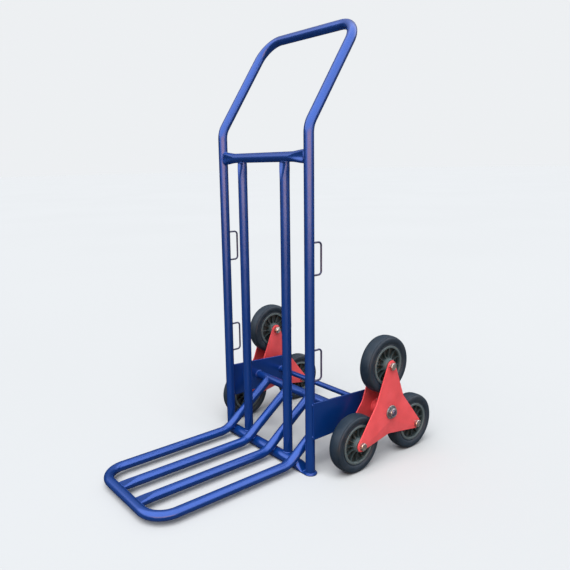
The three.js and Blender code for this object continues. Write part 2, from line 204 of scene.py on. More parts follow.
def straight(start, end, every=None):
    start, end = Vector(start), Vector(end)
    steps = max(1, math.ceil((end - start).length / every)) if every else 1
    direction = (end - start).normalized()
    return [(start.lerp(end, k / steps), direction) for k in range(steps + 1)]


def bent(corners, radius=BEND_R, step=math.radians(4)):
    """Stations, each a point and a direction, of a rod bent round every inner corner."""
    points = [Vector(c) for c in corners]
    stations = [(points[0], (points[1] - points[0]).normalized())]
    for before, corner, after in zip(points, points[1:], points[2:]):
        into = (corner - before).normalized()
        out = (after - corner).normalized()
        angle = into.angle(out)
        axis = into.cross(out).normalized()
        start = corner - into * radius * math.tan(angle / 2)
        centre = start + axis.cross(into) * radius
        steps = max(2, round(angle / step))
        for k in range(steps + 1):
            turn = Matrix.Rotation(angle * k / steps, 3, axis)
            stations.append((centre + turn @ (start - centre), turn @ into))
    stations.append((points[-1], (points[-1] - points[-2]).normalized()))
    return stations


def sweep(stations, ring_at, across, closed=False, skin=None):
    """Skins the section ring_at(point, i) along stations, carrying the across direction round the bends."""
    skin = skin or Skin()
    along = stations[0][1]
    side = (Vector(across) - along * along.dot(Vector(across))).normalized()
    rings = []
    for i, (point, direction) in enumerate(stations):
        side = along.rotation_difference(direction) @ side
        along = direction
        up = along.cross(side)
        rings.append([point + side * a + up * b for a, b in ring_at(point, i)])
    return skin.rings(rings, closed)


def lathe(profile, count=96, closed=True, skin=None):
    """A body turned about the X axis, from (x, radius) points."""
    rings = [[(x, a, b) for a, b in circle(r, count)] for x, r in profile]
    return (skin or Skin()).rings(rings, closed)


def ease(t):
    t = min(1.0, max(0.0, t))
    return t * t * (3 - 2 * t)


def lerp(a, b, t):
    return a + (b - a) * t


def pressed_ring(wide, thick, dent=0.0):
    """A squeezed tube's section: flats at +-thick with a crease at each edge, round sides out to +-wide."""
    nearly_round = 0.9985
    share = min(thick / TUBE_R, nearly_round)
    crease = math.acos(share)  # half the angle, from the flat's middle, that the press has flattened
    half = []
    flat_steps, side_steps = 12, 12
    for k in range(flat_steps):
        t = 1 - 2 * k / flat_steps
        sink = dent * math.cos(t * math.pi / 2) ** 2
        half.append((wide * math.sin(crease) * t, TUBE_R * share - sink))
    for k in range(side_steps):
        a = math.pi / 2 + crease + (math.pi - 2 * crease) * k / side_steps
        half.append((wide * math.cos(a), TUBE_R * math.sin(a)))
    return half + [(-a, -b) for a, b in half]


def pressing(pressed, half_wide, half_thick, dent=0.0):
    """Sections of a tube pressed flat; pressed(point) is 0 where it is still round and 1 at its end."""
    def ring_at(point, _i):
        press = pressed(point)
        thick = lerp(TUBE_R, half_thick, min(1.0, max(0.0, press)))
        return pressed_ring(lerp(TUBE_R, half_wide, ease(press)), thick, dent * ease(press))

    return ring_at


# ---------- weld beads ----------
def evenly(points, spacing, closed):
    """The same curve with evenly spaced points."""
    points = points + [points[0]] if closed else points
    lengths = [0.0]
    for a, b in zip(points, points[1:]):
        lengths.append(lengths[-1] + (b - a).length)
    count = max(3, round(lengths[-1] / spacing))
    found = []
    span = 0
    for k in range(count if closed else count + 1):
        want = lengths[-1] * k / count
        while span < len(points) - 2 and lengths[span + 1] < want:
            span += 1
        part = (want - lengths[span]) / max(1e-9, lengths[span + 1] - lengths[span])
        found.append(points[span].lerp(points[span + 1], min(1.0, part)))
    return found


def bead(skin, points, radius=WELD_R, closed=True):
    """A weld bead with its overlapping ripples along a curve."""
    spacing = WELD_PITCH / 5
    points = evenly(points, spacing, closed)
    last = len(points) - 1
    stations = []
    for i, point in enumerate(points):
        after = points[(i + 1) % len(points)] if closed or i < last else point
        before = points[i - 1] if closed or i > 0 else point
        stations.append((point, (after - before).normalized()))

    def ring_at(_point, i):
        ripple = 1 - WELD_RIPPLE + WELD_RIPPLE * abs(math.sin(math.pi * i * spacing / WELD_PITCH))
        taper = 1.0 if closed else min(1.0, 0.35 + 2.5 * min(i, last - i) / last)  # open ends run out thin
        return circle(radius * ripple * taper, WELD_SIDES)

    aside = stations[0][1].orthogonal()
    return sweep(stations, ring_at, aside, closed, skin)


def saddle(at, direction, across, half_across, half_other, run_at, run_direction, run_radius):
    """The curve where a branch, of an oval section, meets the near side of a round run."""
    direction, across = Vector(direction).normalized(), Vector(across).normalized()
    run_direction = Vector(run_direction).normalized()
    other = direction.cross(across)

    def off_run(v):
        return v - run_direction * v.dot(run_direction)

    curve = []
    for a, b in circle(1, 96):
        start = Vector(at) + across * a * half_across + other * b * half_other
        reach, ahead = off_run(start - Vector(run_at)), off_run(direction)
        square, mixed = ahead.dot(ahead), reach.dot(ahead)
        room = mixed * mixed - square * (reach.dot(reach) - run_radius**2)
        curve.append(start + direction * (-mixed - math.sqrt(max(0.0, room))) / square)
    return curve


def hoop(centre, axis, radius, count=72):
    axis = Vector(axis).normalized()
    side = axis.orthogonal().normalized()
    other = axis.cross(side)
    return [Vector(centre) + side * a + other * b for a, b in circle(radius, count)]


# ---------- materials ----------
def ramp_node(nodes, stops):
    """A colour ramp with two or more stops, each a position and a colour."""
    node = nodes.new("ShaderNodeValToRGB")
    elements = node.color_ramp.elements
    while len(elements) < len(stops):
        elements.new(0.5)
    for element, (position, colour) in zip(elements, stops):
        element.position = position
        element.color = (*colour, 1)
    return node


class Look:
    """A Principled material with helpers for procedural colour, roughness and bump in object space."""

    def __init__(self, name, **uniform):
        self.material = bpy.data.materials.new(name)
        self.material.use_nodes = True
        self.nodes = self.material.node_tree.nodes
        self.links = self.material.node_tree.links
        self.shader = self.nodes["Principled BSDF"]
        for socket, value in uniform.items():
            self.shader.inputs[socket.replace("_", " ")].default_value = value
        self.place = self.nodes.new("ShaderNodeTexCoord").outputs["Object"]

    def noise(self, scale, detail=3.0, stretch=(1, 1, 1), turn=(0.5, 0.7, 0.3)):
        """Noise, by default on turned axes, so that its grid never lines up with a tube."""
        mapping = self.nodes.new("ShaderNodeMapping")
        mapping.inputs["Scale"].default_value = stretch
        mapping.inputs["Rotation"].default_value = turn
        self.links.new(self.place, mapping.inputs["Vector"])
        noise = self.nodes.new("ShaderNodeTexNoise")
        noise.inputs["Scale"].default_value = scale
        noise.inputs["Detail"].default_value = detail
        self.links.new(mapping.outputs["Vector"], noise.inputs["Vector"])
        return noise.outputs["Fac"]

    def math(self, operation, value, other=None):
        node = self.nodes.new("ShaderNodeMath")
        node.operation = operation
        self.links.new(value, node.inputs[0])
        if hasattr(other, "links"):
            self.links.new(other, node.inputs[1])
        elif other is not None:
            node.inputs[1].default_value = other
        return node.outputs["Value"]

    def colour(self, value, *stops):
        ramp = ramp_node(self.nodes, stops)
        self.links.new(value, ramp.inputs["Fac"])
        self.links.new(ramp.outputs["Color"], self.shader.inputs["Base Color"])

    def roughness(self, value, low, high):
        reach = self.nodes.new("ShaderNodeMapRange")
        reach.inputs["From Min"].default_value = 0.3
        reach.inputs["From Max"].default_value = 0.7
        reach.inputs["To Min"].default_value = low
        reach.inputs["To Max"].default_value = high
        self.links.new(value, reach.inputs["Value"])
        self.links.new(reach.outputs["Result"], self.shader.inputs["Roughness"])

    def bump(self, value, strength, distance):
        bump = self.nodes.new("ShaderNodeBump")
        bump.inputs["Strength"].default_value = strength
        bump.inputs["Distance"].default_value = distance
        old = self.shader.inputs["Normal"].links
        if old:
            self.links.new(old[0].from_socket, bump.inputs["Normal"])
        self.links.new(value, bump.inputs["Height"])
        self.links.new(bump.outputs["Normal"], self.shader.inputs["Normal"])


def frame_paint():
    """Glossy royal blue powder coat with a fine orange peel."""
    look = Look("frame_paint", Metallic=0.42, Specular_IOR_Level=0.48)
    look.colour(look.noise(9, 2), (0.3, (0.0030, 0.035, 0.180)), (0.7, (0.0042, 0.041, 0.206)))
    look.roughness(look.noise(24, 2), 0.21, 0.26)
    look.bump(look.noise(560, 1), 0.05, 0.00004)
    return look.material


def loop_paint():
    """Dark grey-blue coating on the wire loops."""
    look = Look("loop_paint", Specular_IOR_Level=0.4)
    look.colour(look.noise(60, 3), (0.3, (0.012, 0.014, 0.040)), (0.7, (0.022, 0.025, 0.060)))
    look.roughness(look.noise(90, 3), 0.38, 0.52)
    look.bump(look.noise(700, 2), 0.2, 0.00008)
    return look.material


def star_paint():
    """Satin red powder coat, a little uneven over the pressed plate."""
    look = Look("star_paint", Coat_Weight=0.08, Coat_Roughness=0.3, Specular_IOR_Level=0.4)
    stops = (0.3, (0.57, 0.050, 0.054)), (0.52, (0.64, 0.062, 0.066)), (0.72, (0.70, 0.076, 0.083))
    look.colour(look.noise(22, 5), *stops)
    look.roughness(look.noise(40, 4), 0.42, 0.56)
    look.bump(look.noise(560, 2), 0.2, 0.00014)
    look.bump(look.noise(24, 2), 0.12, 0.0012)
    return look.material


def tyre_rubber():
    """Slate-black solid rubber with a dull shine, slightly dusty."""
    look = Look("tyre_rubber", Specular_IOR_Level=0.22)
    stops = (0.3, (0.0058, 0.0125, 0.0195)), (0.55, (0.0085, 0.0160, 0.0240)), (0.80, (0.017, 0.022, 0.026))
    look.colour(look.noise(26, 5), *stops)
    look.roughness(look.noise(70, 5), 0.40, 0.58)
    look.bump(look.noise(900, 3), 0.25, 0.00015)
    return look.material


def rim_plastic():
    """Grey-green moulded plastic, with painted shade: lighter on the outer faces and darker deep in the
    spokes, towards the web.
    """
    look = Look("rim_plastic", Specular_IOR_Level=0.45)
    across = look.nodes.new("ShaderNodeSeparateXYZ")
    look.links.new(look.place, across.inputs["Vector"])
    from_middle = look.math("SUBTRACT", look.math("ABSOLUTE", across.outputs["X"]), WHEEL_X)
    depth = look.math("MULTIPLY", look.math("ABSOLUTE", from_middle), 1 / RIM_HALF)
    spread = look.math("MULTIPLY", look.math("SUBTRACT", look.noise(45, 3), 0.5), 0.12)
    # The ramp paints shade from the wheel's middle outwards: darkest at the web between the ribs, lightest on
    # the outer faces. The noise adds random tone.
    stops = (0.35, (0.012, 0.019, 0.020)), (0.72, (0.030, 0.043, 0.044)), (0.93, (0.062, 0.082, 0.083))
    look.colour(look.math("ADD", depth, spread), *stops)
    look.roughness(look.noise(60, 3), 0.36, 0.48)
    look.bump(look.noise(900, 2), 0.10, 0.0001)
    return look.material


def zinc():
    """Zinc plated steel, faintly yellow, with a brushed unevenness."""
    look = Look("zinc", Metallic=1.0)
    stops = (0.3, (0.27, 0.27, 0.245)), (0.5, (0.38, 0.38, 0.35)), (0.72, (0.54, 0.54, 0.50))
    look.colour(look.noise(160, 4), *stops)
    look.roughness(look.noise(260, 3), 0.29, 0.42)
    look.bump(look.noise(900, 2), 0.08, 0.0001)
    return look.material


def shaded_zinc():
    """The same plating on the axle nuts and washers, painted darker as shade."""
    look = Look("shaded_zinc", Metallic=0.8)
    stops = (0.3, (0.13, 0.145, 0.150)), (0.5, (0.20, 0.22, 0.225)), (0.72, (0.34, 0.36, 0.36))
    look.colour(look.noise(140, 4), *stops)
    look.roughness(look.noise(240, 3), 0.30, 0.46)
    look.bump(look.noise(900, 2), 0.08, 0.0001)
    return look.material


def shaded_steel():
    """The bare ends of the axle, painted dark and tinted purple as shade and reflection."""
    look = Look("shaded_steel", Metallic=0.6)
    look.colour(look.noise(140, 4), (0.3, (0.050, 0.045, 0.070)), (0.7, (0.105, 0.085, 0.135)))
    look.roughness(look.noise(240, 3), 0.32, 0.50)
    look.bump(look.noise(900, 2), 0.08, 0.0001)
    return look.material


def bush_steel():
    """Plain turned steel with fine lathe marks."""
    look = Look("bush_steel", Metallic=1.0)
    look.colour(look.noise(80, 4), (0.3, (0.36, 0.37, 0.38)), (0.7, (0.55, 0.56, 0.57)))
    square = (0, 0, 0)
    look.roughness(look.noise(120, 4, (14, 1, 1), square), 0.29, 0.45)
    look.bump(look.noise(500, 2, (6, 1, 1), square), 0.15, 0.0001)
    return look.material


def bush_nylon():
    """Natural nylon, waxy and slightly translucent."""
    look = Look("bush_nylon", Subsurface_Weight=0.1, Subsurface_Scale=0.002)
    look.colour(look.noise(60, 3), (0.3, (0.62, 0.58, 0.48)), (0.7, (0.72, 0.69, 0.60)))
    look.roughness(look.noise(90, 3), 0.38, 0.5)
    look.bump(look.noise(400, 2), 0.1, 0.0001)
    return look.material


MAKERS = (
    frame_paint, loop_paint, star_paint, tyre_rubber, rim_plastic,
    zinc, shaded_zinc, shaded_steel, bush_steel, bush_nylon,
)
LOOKS = {make.__name__: make() for make in MAKERS}


# ---------- frame tubes ----------
def round_tube(_point, _i):
    return circle(TUBE_R)


def main_frame_tube():
    foot_top = 2 * FOOT_HALF_Z
    corners = [
        (-UPRIGHT_X, UPRIGHT_Y, foot_top),
        (-UPRIGHT_X, UPRIGHT_Y, HANDLE_BEND_Z),
        (-UPRIGHT_X, HANDLE_Y, HANDLE_Z),
        (UPRIGHT_X, HANDLE_Y, HANDLE_Z),
        (UPRIGHT_X, UPRIGHT_Y, HANDLE_BEND_Z),
        (UPRIGHT_X, UPRIGHT_Y, foot_top),
    ]
    add_frame_piece("main_frame_tube", sweep(bent(corners), round_tube, (1, 0, 0)))


def upper_crossbar():
    """Round in the middle; the ends are pressed flat from front and back and spread up and down."""
    end = UPRIGHT_X - SADDLE_END
    start = UPRIGHT_X - TUBE_R - SADDLE_LENGTH

    def at(x):
        return (x, UPRIGHT_Y, UPPER_BAR_Z)

    def pressed(point):
        return (abs(point.x) - start) / SADDLE_LENGTH

    stations = straight(at(-end), at(-start), FINE) + straight(at(start), at(end), FINE)
    ring_at = pressing(pressed, SADDLE_HALF_Z, SADDLE_HALF_Y, SADDLE_DENT)
    add_frame_piece("upper_crossbar", sweep(stations, ring_at, (0, 0, 1)), 28)


def lower_crossbar():
    """A thicker tube on the floor, each end pressed into a flat round foot."""
    flat_start = UPRIGHT_X - FOOT_PRESS_START
    body = straight((-flat_start, 0, 0), (flat_start, 0, 0))
    step = FINE / 2
    slope = [flat_start + step * k for k in range(1, round(FOOT_PRESS_START / step) + 1)]
    tip = [UPRIGHT_X + FOOT_R * math.sin(math.radians(a)) for a in range(5, 88, 6)]
    ends = [x for x in slope if x < UPRIGHT_X] + tip
    right = [(Vector((x, 0, 0)), body[0][1]) for x in ends]
    left = [(Vector((-x, 0, 0)), body[0][1]) for x in reversed(ends)]

    def ring_at(point, _i):
        inside = UPRIGHT_X - abs(point.x)
        press = ease((FOOT_PRESS_START - inside) / (FOOT_PRESS_START - FOOT_PRESS_END))
        beyond = max(0.0, -inside) / FOOT_R
        half_y = lerp(FOOT_BAR_R, FOOT_R * math.sqrt(max(0.001, 1 - beyond * beyond)), press)
        half_z = lerp(FOOT_BAR_R, FOOT_HALF_Z, press)
        centre_y = lerp(FOOT_BAR_Y, UPRIGHT_Y, press)
        edge = min(half_y, half_z)
        ring = []
        for c, s in circle(1):
            flat = (half_y - edge) * math.copysign(1, c) if abs(c) > 1e-6 else 0
            ring.append((centre_y + flat + edge * c, half_z + half_z * s))
        return ring

    add_frame_piece("lower_crossbar", sweep(left + body + right, ring_at, (0, 1, 0)), 60)


def back_slats():
    """Upright tubes, pressed flat where they meet the upper crossbar."""
    start = UPPER_BAR_Z - TUBE_R - SLAT_PRESS_LENGTH
    end = UPPER_BAR_Z - PRESSED_END

    def pressed(point):
        return (point.z - start) / SLAT_PRESS_LENGTH

    ring_at = pressing(pressed, SLAT_HALF_WIDE, SLAT_HALF_THICK, SLAT_DENT)
    for name, side in SIDES.items():
        x = middle(f"back_slat_{name}").x
        foot = straight((x, UPRIGHT_Y, FOOT_BAR_R), (x, UPRIGHT_Y, start))[:1]
        stations = foot + straight((x, UPRIGHT_Y, start), (x, UPRIGHT_Y, end), FINE)
        add_frame_piece(f"back_slat_{name}", sweep(stations, ring_at, (side, 0, 0)), 28)


def platform_loop_tube():
    def leg(x):
        return [(x, REAR_TUBE.y, REAR_TUBE.z), (x, CLIMB_Y, PLATFORM_Z)]

    front = [(-PLATFORM_X, PLATFORM_FRONT_Y, PLATFORM_Z), (PLATFORM_X, PLATFORM_FRONT_Y, PLATFORM_Z)]
    corners = leg(-PLATFORM_X) + front + leg(PLATFORM_X)[::-1]
    add_frame_piece("platform_loop_tube", sweep(bent(corners), round_tube, (1, 0, 0)))


def platform_bars():
    """The two inner tubes, pressed flat where they meet the front of the loop."""
    start = PLATFORM_FRONT_Y + TUBE_R + BAR_PRESS_LENGTH
    end = PLATFORM_FRONT_Y + PRESSED_END

    def pressed(point):
        return (start - point.y) / BAR_PRESS_LENGTH

    ring_at = pressing(pressed, BAR_HALF_WIDE, BAR_HALF_THICK)
    for name in SIDES:
        x = middle(f"platform_bar_{name}").x
        climb = [(x, REAR_TUBE.y, REAR_TUBE.z), (x, CLIMB_Y, PLATFORM_Z), (x, start, PLATFORM_Z)]
        stations = bent(climb)[:-1] + straight((x, start, PLATFORM_Z), (x, end, PLATFORM_Z), FINE)
        add_frame_piece(f"platform_bar_{name}", sweep(stations, ring_at, (1, 0, 0)), 28)


def rear_cross_tube():
    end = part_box("side_plate_right")[0].x
    stations = straight((-end, REAR_TUBE.y, REAR_TUBE.z), (end, REAR_TUBE.y, REAR_TUBE.z))
    add_frame_piece("rear_cross_tube", sweep(stations, round_tube, (0, 1, 0)))


def strap_loops():
    for name, side in SIDES.items():
        for level in ("lower", "upper"):
            node = f"strap_loop_{level}_{name}"
            low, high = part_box(node)
            x, out = side * UPRIGHT_X, high.y - LOOP_WIRE_R
            root = UPRIGHT_Y + TUBE_R * 0.8
            z = (low.z + LOOP_WIRE_R, high.z - LOOP_WIRE_R)
            corners = [(x, root, z[0]), (x, out, z[0]), (x, out, z[1]), (x, root, z[1])]
            stations = bent(corners, LOOP_BEND_R, math.radians(7.5))
            skin = sweep(stations, lambda _p, _i: circle(LOOP_WIRE_R, 20), (1, 0, 0))
            for height in z:
                bead(skin, hoop((x, UPRIGHT_Y + TUBE_R, height), (0, 1, 0), LOOP_WIRE_R * 1.1, 40), 0.0013)
            add_piece(node, skin.mesh(node, 40), "loop_paint", "frame")


# ---------- side plates ----------
def corner_arc(centre, radius, start, steps=10):
    angles = [math.radians(start + 90 * k / steps) for k in range(steps + 1)]
    return [(centre[0] + radius * math.cos(a), centre[1] + radius * math.sin(a)) for a in angles]


def inset(outline, by):
    """The outline, which runs anticlockwise, moved inwards with its corners kept."""
    moved = []
    for k, point in enumerate(outline):
        here, before, after = Vector(point), Vector(outline[k - 1]), Vector(outline[(k + 1) % len(outline)])
        inward = [Vector((-way.y, way.x)).normalized() for way in (here - before, after - here)]
        corner = (inward[0] + inward[1]).normalized()
        moved.append(here + corner * by / corner.dot(inward[0]))
    return moved


def side_plates():
    """Flat plates with rounded back corners and broken edges, bored for the axle."""
    low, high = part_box("side_plate_right")
    r, edge, part = PLATE_CORNER_R, PLATE_EDGE, PLATE_EDGE * 0.3
    outline = [(low.y, low.z)]
    outline += corner_arc((high.y - r, low.z + r), r, -90)
    outline += corner_arc((high.y - r, high.z - PLATE_DROP - r), r, 0)
    outline += [(low.y, high.z)]
    hole = [(AXLE.y + a, AXLE.z + b) for a, b in circle(AXLE_R * 1.04)]
    steps = [(low.x, edge), (low.x + part, part), (low.x + edge, 0)]
    steps += [(high.x - edge, 0), (high.x - part, part), (high.x, edge)]
    for name, side in SIDES.items():
        bm = bmesh.new()
        ends = []
        for loop, way in ((outline, 1), (hole, -1)):
            rings = [[bm.verts.new((side * x, y, z)) for y, z in inset(loop, way * by)] for x, by in steps]
            for one, other in zip(rings, rings[1:]):
                for i in range(len(loop)):
                    bm.faces.new((one[i - 1], one[i], other[i], other[i - 1]))
            ends.append((rings[0], rings[-1]))
        for loops in zip(*ends):
            rims = [bm.edges.get((loop[i - 1], loop[i])) for loop in loops for i in range(len(loop))]
            bmesh.ops.triangle_fill(bm, use_beauty=True, edges=rims)
        bmesh.ops.recalc_face_normals(bm, faces=bm.faces)
        data = bpy.data.meshes.new(f"side_plate_{name}")
        bm.to_mesh(data)
        bm.free()
        data.shade_smooth()
        data.set_sharp_from_angle(angle=math.radians(20))
        add_piece(f"side_plate_{name}", data, "frame_paint", "frame")


# ---------- welds of the frame ----------
def frame_welds():
    """Every weld bead of the frame, as one mesh."""
    skin = Skin()
    lead = 0.05  # from a joint to where its saddle's search starts
    proud = 0.0004
    x_axis, up = (1, 0, 0), (0, 0, 1)
    bar = (0, UPRIGHT_Y, UPPER_BAR_Z)
    foot_bar = (0, FOOT_BAR_Y, FOOT_BAR_R)
    climb = (Vector((0, REAR_TUBE.y, REAR_TUBE.z)) - Vector((0, CLIMB_Y, PLATFORM_Z))).normalized()
    plate_in, plate_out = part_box("side_plate_right")
    for name, side in SIDES.items():
        upright = (side * UPRIGHT_X, UPRIGHT_Y, 0)
        inside = (side * (UPRIGHT_X - lead), UPRIGHT_Y, UPPER_BAR_Z)
        bead(skin, saddle(inside, (side, 0, 0), up, SADDLE_HALF_Z, SADDLE_HALF_Y, upright, up, TUBE_R))
        bead(skin, hoop((*upright[:2], 2 * FOOT_HALF_Z), up, TUBE_R + proud), THIN_WELD_R)
        slat = middle(f"back_slat_{name}").x
        below = (slat, UPRIGHT_Y, UPPER_BAR_Z - lead)
        bead(skin, saddle(below, up, x_axis, SLAT_HALF_WIDE, SLAT_HALF_THICK, bar, x_axis, TUBE_R))
        above = (slat, UPRIGHT_Y, 2 * lead)
        bead(skin, saddle(above, (0, 0, -1), x_axis, TUBE_R, TUBE_R, foot_bar, x_axis, FOOT_BAR_R))
        platform_bar = middle(f"platform_bar_{name}").x
        front = (0, PLATFORM_FRONT_Y, PLATFORM_Z)
        behind = (platform_bar, PLATFORM_FRONT_Y + lead, PLATFORM_Z)
        flat = (BAR_HALF_WIDE, BAR_HALF_THICK)
        bead(skin, saddle(behind, (0, -1, 0), x_axis, *flat, front, x_axis, TUBE_R))
        for leg in (platform_bar, side * PLATFORM_X):
            under = Vector((leg, REAR_TUBE.y, REAR_TUBE.z)) - climb * lead
            bead(skin, saddle(under, climb, x_axis, TUBE_R, TUBE_R, REAR_TUBE, x_axis, TUBE_R))
            touch_weld(skin, leg, climb)
        bead(skin, hoop((side * plate_in.x, REAR_TUBE.y, REAR_TUBE.z), x_axis, TUBE_R + 0.0003))
        bead(skin, hoop((side * plate_in.x, AXLE.y, AXLE.z), x_axis, AXLE_R + 0.0006))
        plate_welds(skin, side, plate_in, plate_out)
    add_piece("frame_welds", skin.mesh("frame_welds", 60), "frame_paint", "frame", stands_for=False)


def touch_weld(skin, x, climb):
    """Two short beads, bowed outwards, where a climbing tube lies across the lower bar."""
    half_gap, bow, half_length, proud = 0.0055, 0.0010, 0.007, 0.0006
    centre = Vector((0, CLIMB_Y, PLATFORM_Z))
    foot_bar = Vector((0, FOOT_BAR_Y, FOOT_BAR_R))
    normal = Vector((0, -climb.z, climb.y))
    along = centre + climb * (foot_bar - centre).dot(climb)
    touch = foot_bar + (along - foot_bar).normalized() * FOOT_BAR_R
    for way in (-1, 1):
        points = []
        for t in [math.radians(a) for a in range(-75, 76, 15)]:
            aside = Vector((x + way * (half_gap + bow * math.cos(t)), 0, 0))
            points.append(touch + aside + climb * half_length * math.sin(t) + normal * proud)
        bead(skin, points, THIN_WELD_R, closed=False)


def plate_welds(skin, side, low, high):
    """Tacks on the plate's front edge, and a long bead behind the upright inside the plate."""
    tack = 0.011
    x_front = side * (low.x + 0.0002)
    for z in (high.z - tack, low.z + 0.2 * tack):
        bead(skin, [Vector((x_front, low.y, z + tack * k / 4)) for k in range(4)], 0.0021, closed=False)
    y = UPRIGHT_Y + 0.0052
    x_back = side * (low.x - 0.0012)
    bottom, top = low.z + 0.006, high.z - 0.006
    bead(skin, [Vector((x_back, y, lerp(bottom, top, k / 8))) for k in range(9)], 0.0020, closed=False)


# ---------- fasteners ----------
def hexagon_rings(across_flats, low, high, chamfer_low=True, count=72):
    """Rings of a hexagon along X, its corners turned off at 30 degrees as on a real nut or bolt head."""
    flat = across_flats / 2
    rim = flat * 0.94
    turns = [2 * math.pi * k / count for k in range(count)]
    reach = [flat / math.cos((a + math.pi / 6) % (math.pi / 3) - math.pi / 6) for a in turns]
    fall = [(r - rim) * math.tan(math.radians(30)) for r in reach]

    def ring(places, radii):
        return [(x, r * math.cos(a), r * math.sin(a)) for x, r, a in zip(places, radii, turns)]

    rims = [rim] * count
    rings = [ring([high - f for f in fall], reach), ring([high] * count, rims)]
    if chamfer_low:
        return [ring([low] * count, rims), ring([low + f for f in fall], reach)] + rings
    return [ring([low] * count, reach)] + rings


def bored(rings, radius, low, high, count=72):
    """Closes hexagon rings through a bore with a small countersink at both ends."""
    sink = 0.0006
    stops = [(high, radius + sink), (high - sink, radius), (low + sink, radius), (low, radius + sink)]
    return rings + [[(x, a, b) for a, b in circle(r, count)] for x, r in stops]


def threaded(low, high, radius):
    """Profile of a threaded end, from its start to its chamfered tip."""
    depth = 0.0011
    chamfer = 0.0013
    profile = [(low, radius)]
    for k in range(int((high - chamfer - low) / THREAD_PITCH)):
        x = low + k * THREAD_PITCH
        profile += [(x + THREAD_PITCH * share, radius - depth) for share in (0.45, 0.55)]
        profile.append((x + THREAD_PITCH, radius))
    return profile + [(high - chamfer, radius), (high, radius - chamfer)]


def nut_skin(across_flats, bore, low, high):
    return Skin().rings(bored(hexagon_rings(across_flats, low, high), bore, low, high), closed=True)


def side_place(side, centre, turn=0.0):
    """Places a part drawn for +X about its own axis; the left side is turned half round Z."""
    half_round = Matrix.Rotation(0 if side > 0 else math.pi, 4, "Z")
    return Matrix.Translation(Vector((0, centre.y, centre.z))) @ half_round @ Matrix.Rotation(turn, 4, "X")


def axle_parts():
    """The fixed axle with threaded, unpainted ends, and its spacers, washers and nuts."""
    painted, nut_turn = 0.002, math.radians(12)
    thread_start = OUTER_PLATE_X + painted
    end = threaded(thread_start, AXLE_TIP_X, AXLE_R)
    profile = [(-x, r) for x, r in reversed(end)] + end
    mesh = lathe(profile, 64, closed=False).mesh("axle", 40)
    mesh.materials.append(LOOKS["frame_paint"])
    # the bare threaded ends take steel painted dark and purple as shade and reflection
    mesh.materials.append(LOOKS["shaded_steel"])
    for face in mesh.polygons:
        face.material_index = int(abs(face.center.x) > thread_start)
    add_piece("axle", mesh, "frame_paint", "frame", Matrix.Translation(Vector((0, AXLE.y, AXLE.z))))
    for name, side in SIDES.items():
        place = side_place(side, AXLE)
        bore = AXLE_R + CLEARANCE
        for node, slot in (("axle_spacer", "bush_steel"), ("axle_washer", "zinc")):
            low, high, radius = x_span(f"{node}_right")
            mesh = lathe(ring_profile(low, high, bore, radius)).mesh(f"{node}_{name}", 35)
            # the washers here and the nuts below take the zinc painted darker as shade
            if slot == "zinc":
                mesh.materials.append(LOOKS["shaded_zinc"])
            add_piece(f"{node}_{name}", mesh, slot, "frame", place)
        low, high = (corner.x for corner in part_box("axle_nut_right"))
        mesh = nut_skin(AXLE_NUT_FLATS, bore, low, high).mesh(f"axle_nut_{name}", 25)
        mesh.materials.append(LOOKS["shaded_zinc"])
        add_piece(f"axle_nut_{name}", mesh, "zinc", "frame", side_place(side, AXLE, nut_turn))


def x_span(node):
    """A turned node's lowest and highest x and its radius."""
    low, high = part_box(node)
    return low.x, high.x, (high.z - low.z) / 2


def ring_profile(low, high, bore, radius, edge=0.0004):
    """A ring's section with broken edges."""
    outer = [(low, radius - edge), (low + edge, radius), (high - edge, radius), (high, radius - edge)]
    inner = [(high, bore + edge), (high - edge, bore), (low + edge, bore), (low, bore + edge)]
    return outer + inner


# ---------- stars ----------
ARM_ANGLES = {"top": math.pi / 2, "front": math.pi * 7 / 6, "rear": -math.pi / 6}


def star_outline():
    """Outline points (y, z) and their outward normals: round tips, joined by straight sides to the waists."""
    waist_at = Vector((STAR_WAIST_R / 2, STAR_WAIST_R * math.sqrt(3) / 2))
    reach = Vector((ARM_R, 0)) - waist_at
    half = math.pi - math.atan2(waist_at.y, reach.x) - math.acos(STAR_TIP_R / reach.length)
    tip_steps, side_steps = 14, 12
    found = []
    for arm in ("rear", "top", "front"):
        turn = Matrix.Rotation(ARM_ANGLES[arm], 2)
        for k in range(tip_steps + 1):
            a = lerp(-half, half, k / tip_steps)
            out = Vector((math.cos(a), math.sin(a)))
            found.append((turn @ (Vector((ARM_R, 0)) + out * STAR_TIP_R), turn @ out))
        out = Vector((math.cos(half), math.sin(half)))
        leave = Vector((ARM_R, 0)) + out * STAR_TIP_R
        mirror = Matrix.Rotation(math.radians(120), 2)
        arrive = mirror @ Vector((leave.x, -leave.y))
        out_after = mirror @ Vector((out.x, -out.y))
        for k in range(1, side_steps):
            found.append((turn @ leave.lerp(waist_at, k / side_steps), turn @ out))
        found.append((turn @ waist_at, turn @ (out + out_after).normalized()))
        for k in range(1, side_steps):
            found.append((turn @ waist_at.lerp(arrive, k / side_steps), turn @ out_after))
    return found


def star_relief(y, z):
    """How far the plate sinks. Creases run past the hub from bolt to bolt; beyond them it slopes away."""
    deepest = 0.0
    for waist, slope in zip((math.pi / 6, math.pi * 5 / 6, -math.pi / 2), STAR_SLOPES):
        along = y * math.cos(waist) + z * math.sin(waist)
        off = abs(-y * math.sin(waist) + z * math.cos(waist))
        crease = lerp(STAR_CREASE_R, ARM_R / 2 + STAR_TIP_R / 2, off / (ARM_R * math.sqrt(3) / 2))
        past = along - crease
        rounded = (past + math.hypot(past, STAR_BEND)) / 2 - STAR_BEND / 8
        deepest = max(deepest, rounded * slope)
    return deepest


